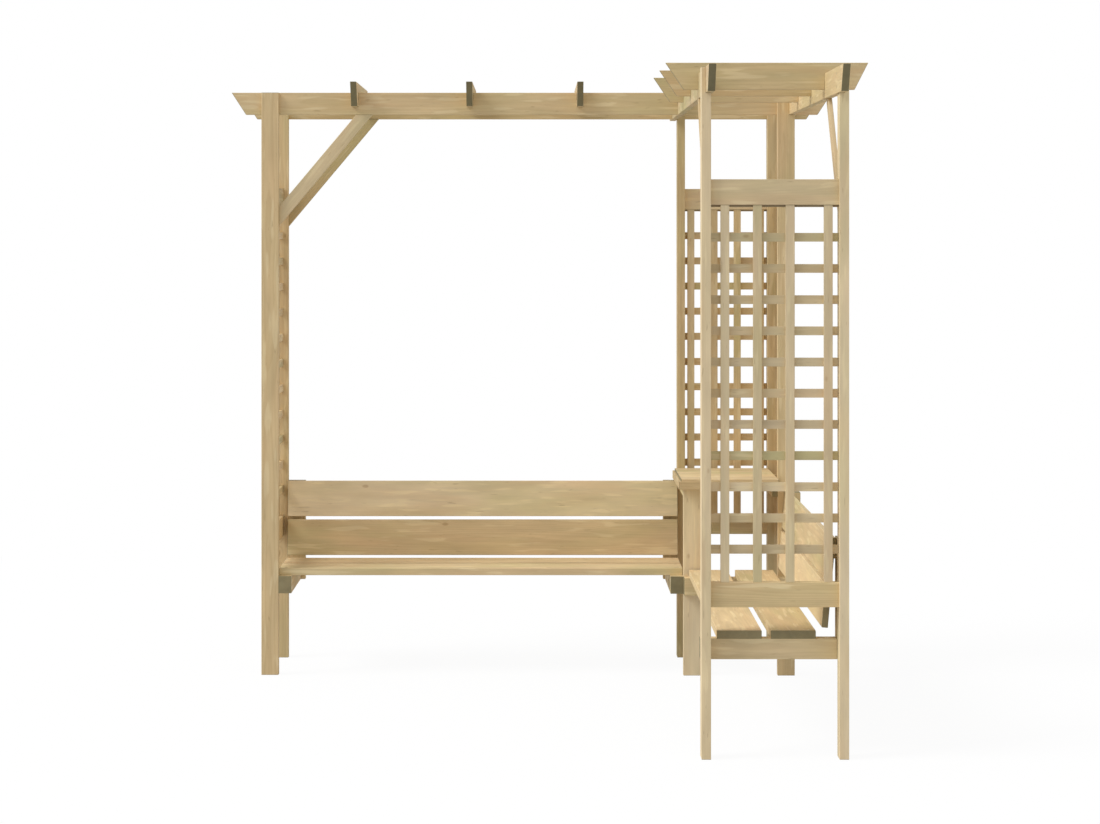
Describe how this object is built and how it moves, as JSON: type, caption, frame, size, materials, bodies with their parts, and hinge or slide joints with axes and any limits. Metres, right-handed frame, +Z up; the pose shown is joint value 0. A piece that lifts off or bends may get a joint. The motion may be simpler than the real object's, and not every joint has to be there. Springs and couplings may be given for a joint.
{
  "type": "corner arbour seat",
  "caption": "Corner arbour in softwood: posts carry crossed beams with notched rafters, trellis panels close the ends and corner, slatted benches with leaning backs meet at a small table.",
  "frame": {"origin": "middle of the footprint of the whole arbour, on the ground", "axes": "+X along the left wing's bench towards the corner side, +Y from the open front of the right wing towards the back, +Z up"},
  "size_m": [2.147, 2.242, 2.1135],
  "materials": {
    "frame_timber": "planed pressure-treated pine, pale tan with a faint green tint",
    "board_timber": "planed pressure-treated pine boards with eased edges",
    "lattice_timber": "planed pressure-treated pine strips",
    "screw_steel": null
  },
  "bodies": {
    "root": {"left_end_front_post": "frame_timber", "left_end_rear_post": "frame_timber", "front_left_post": "frame_timber", "front_right_post": "frame_timber", "rear_left_post": "frame_timber", "right_middle_post": "frame_timber", "corner_post": "frame_timber", "table_leg": "frame_timber", "front_beam": "frame_timber", "rear_beam": "frame_timber", "inner_side_beam": "frame_timber", "outer_side_beam": "frame_timber", "left_rafter_1": "frame_timber", "left_rafter_2": "frame_timber", "left_rafter_3": "frame_timber", "right_rafter_1": "frame_timber", "right_rafter_2": "frame_timber", "right_rafter_3": "frame_timber", "left_front_brace": "frame_timber", "left_rear_brace": "frame_timber", "front_left_brace": "frame_timber", "front_right_brace": "frame_timber", "front_panel_top_rail": "frame_timber", "front_panel_middle_rail": "frame_timber", "left_panel_top_rail": "frame_timber", "left_panel_middle_rail": "frame_timber", "rear_panel_top_rail": "frame_timber", "rear_panel_middle_rail": "frame_timber", "right_panel_top_rail": "frame_timber", "right_panel_middle_rail": "frame_timber", "left_bench_far_bearer": "frame_timber", "left_bench_corner_bearer": "frame_timber", "left_bench_back_blocks": "frame_timber", "left_bench_back_supports": "frame_timber", "right_bench_far_bearer": "frame_timber", "right_bench_corner_bearer": "frame_timber", "right_bench_back_blocks": "frame_timber", "right_bench_back_supports": "frame_timber", "table_ledgers": "frame_timber", "front_panel_uprights": "lattice_timber", "front_panel_crossbars": "lattice_timber", "left_panel_uprights": "lattice_timber", "left_panel_crossbars": "lattice_timber", "rear_panel_uprights": "lattice_timber", "rear_panel_crossbars": "lattice_timber", "right_panel_uprights": "lattice_timber", "right_panel_crossbars": "lattice_timber", "left_bench_front_slat": "board_timber", "left_bench_rear_slat": "board_timber", "left_bench_lower_back_board": "board_timber", "left_bench_upper_back_board": "board_timber", "right_bench_front_slat": "board_timber", "right_bench_rear_slat": "board_timber", "right_bench_lower_back_board": "board_timber", "right_bench_upper_back_board": "board_timber", "table_boards": "board_timber", "table_trims": "board_timber", "seat_screws": "screw_steel", "back_screws": "screw_steel", "frame_screws": "screw_steel"}
  },
  "joints": []
}
